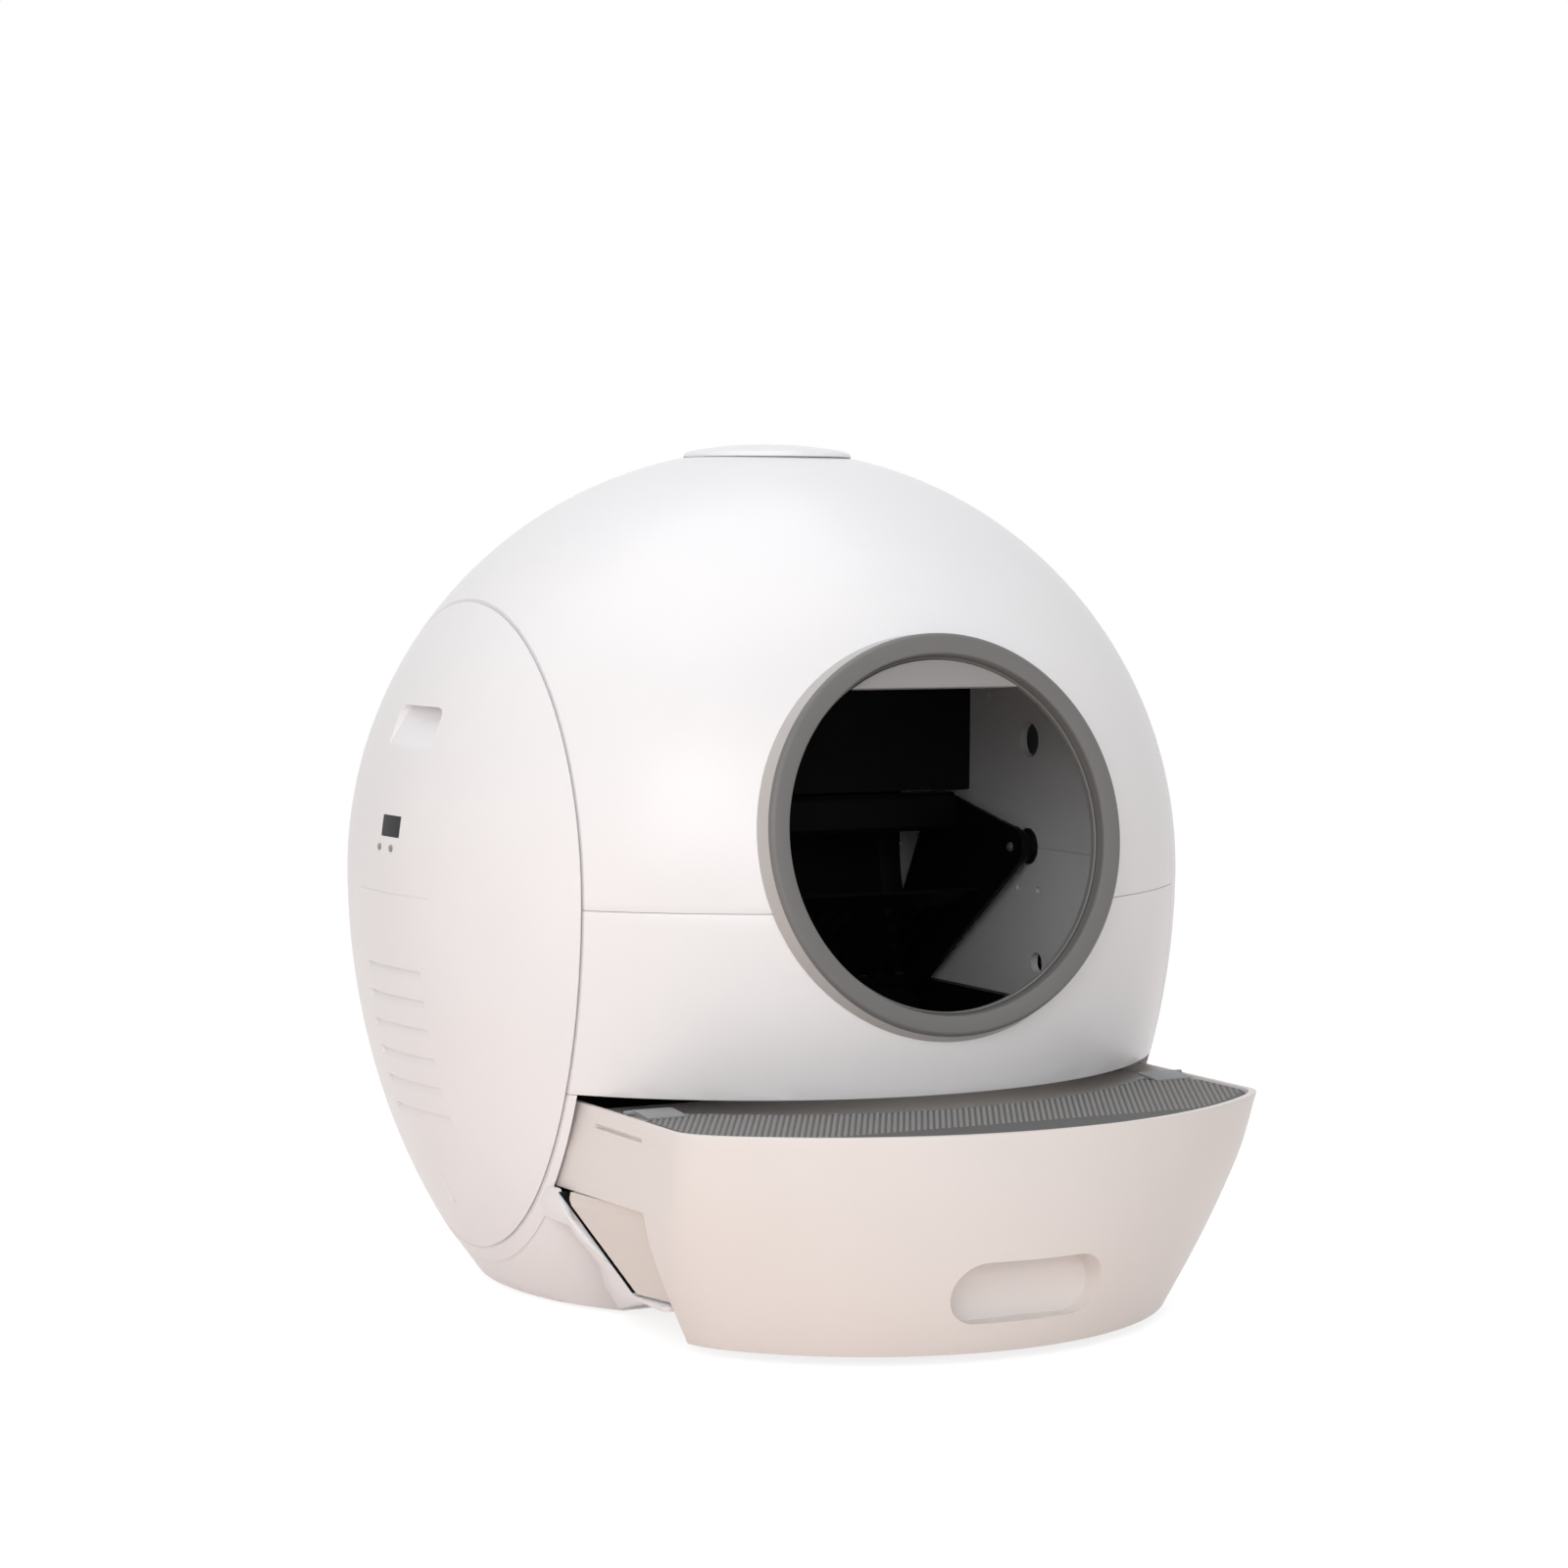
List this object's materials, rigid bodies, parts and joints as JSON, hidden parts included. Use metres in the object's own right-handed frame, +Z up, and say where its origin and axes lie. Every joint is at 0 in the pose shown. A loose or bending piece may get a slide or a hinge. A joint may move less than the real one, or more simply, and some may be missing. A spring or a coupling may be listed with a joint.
{
  "type": "self cleaning litter box",
  "caption": "Ball-shaped self cleaning litter box with a round front entrance, a turning rake over the litter tray, lift-off side covers and a pull-out waste drawer with a hinged step mat.",
  "frame": {"origin": "middle of the box that holds the whole object, on the floor under its feet", "axes": "+Z up, -Y towards the entrance and the drawer, +X to the right as seen from the front"},
  "size_m": [0.62, 0.715, 0.6138],
  "materials": {
    "white": "satin white moulding",
    "warm_white": "satin warm white moulding",
    "ring_grey": "fine-grained dark grey",
    "visor_grey": "satin mid grey",
    "black": "satin black",
    "mat_grey": "perforated soft grey",
    "clip_grey": "satin grey",
    "screen_black": "gloss black window",
    "button_grey": "satin grey",
    "gear_white": "natural acetal",
    "steel": "brushed",
    "board_green": "solder mask green",
    "rubber": "matte black",
    "carbon": "open-cell carbon foam"
  },
  "bodies": {
    "stand": {"base": "white", "lower_housing": "white", "litter_tray": "black", "axle_bush_left": "steel", "axle_bush_right": "steel", "gear_motor": "steel", "motor_bracket": "steel", "control_board": "board_green", "position_switch": "black", "power_inlet": "black", "foot_rear_right": "rubber", "foot_rear_left": "rubber", "foot_front_left": "rubber", "foot_front_right": "rubber", "drawer_glide_left": "clip_grey", "drawer_glide_right": "clip_grey"},
    "dome": {"upper_housing": "white", "entrance_ring": "ring_grey", "sensor_visor": "visor_grey", "motion_sensor": "black", "back_panel": "black", "filter_basket": "white", "odour_filter": "carbon"},
    "cap": {"top_cap": "white"},
    "rake": {"rake_arm_left": "black", "rake_arm_right": "black", "rake_beam": "black", "rake_comb": "black", "axle_stub_left": "steel", "axle_stub_right": "steel", "pivot_screw_left": "gear_white", "pivot_screw_right": "gear_white", "drive_gear": "gear_white"},
    "pinion": {"motor_pinion": "gear_white", "motor_shaft": "steel"},
    "drawer": {"drawer_front": "warm_white", "waste_bin": "warm_white"},
    "mat": {"step_mat": "mat_grey", "mat_clip_left": "clip_grey", "mat_clip_right": "clip_grey"},
    "left_cover": {"side_cover_left": "white", "display_window": "screen_black"},
    "right_cover": {"side_cover_right": "white"},
    "button_1": {"button_1": "button_grey"},
    "button_2": {"button_2": "button_grey"}
  },
  "joints": [
    {"name": "rake_turn", "type": "hinge", "parent": "stand", "child": "rake", "pos_m": [0, 0.0475, 0.308], "axis": [-1, 0, 0], "range_deg": [0, 124]},
    {"name": "pinion_turn", "type": "hinge", "parent": "stand", "child": "pinion", "pos_m": [0, 0.07111, 0.26167], "axis": [-1, 0, 0], "range_deg": [-420, 0]},
    {"name": "dome_lift", "type": "slide", "parent": "stand", "child": "dome", "axis": [0, 0, 1], "range_m": [0, 0.2]},
    {"name": "cap_lift", "type": "slide", "parent": "dome", "child": "cap", "axis": [0, 0, 1], "range_m": [0, 0.03]},
    {"name": "drawer_slide", "type": "slide", "parent": "stand", "child": "drawer", "axis": [0, -1, 0], "range_m": [0, 0.2]},
    {"name": "mat_hinge", "type": "hinge", "parent": "drawer", "child": "mat", "pos_m": [0, -0.177, 0.1615], "axis": [-1, 0, 0], "range_deg": [0, 24]},
    {"name": "left_cover_slide", "type": "slide", "parent": "stand", "child": "left_cover", "axis": [-1, 0, 0], "range_m": [0, 0.06]},
    {"name": "right_cover_slide", "type": "slide", "parent": "stand", "child": "right_cover", "axis": [1, 0, 0], "range_m": [0, 0.06]},
    {"name": "button_1_press", "type": "slide", "parent": "left_cover", "child": "button_1", "axis": [1, 0, 0], "range_m": [0, 0.001], "stiffness_N_per_m": 300},
    {"name": "button_2_press", "type": "slide", "parent": "left_cover", "child": "button_2", "axis": [1, 0, 0], "range_m": [0, 0.001], "stiffness_N_per_m": 300}
  ],
  "couplings": [
    {"joint": "pinion_turn", "follows": "rake_turn", "ratio": -3.3333}
  ]
}
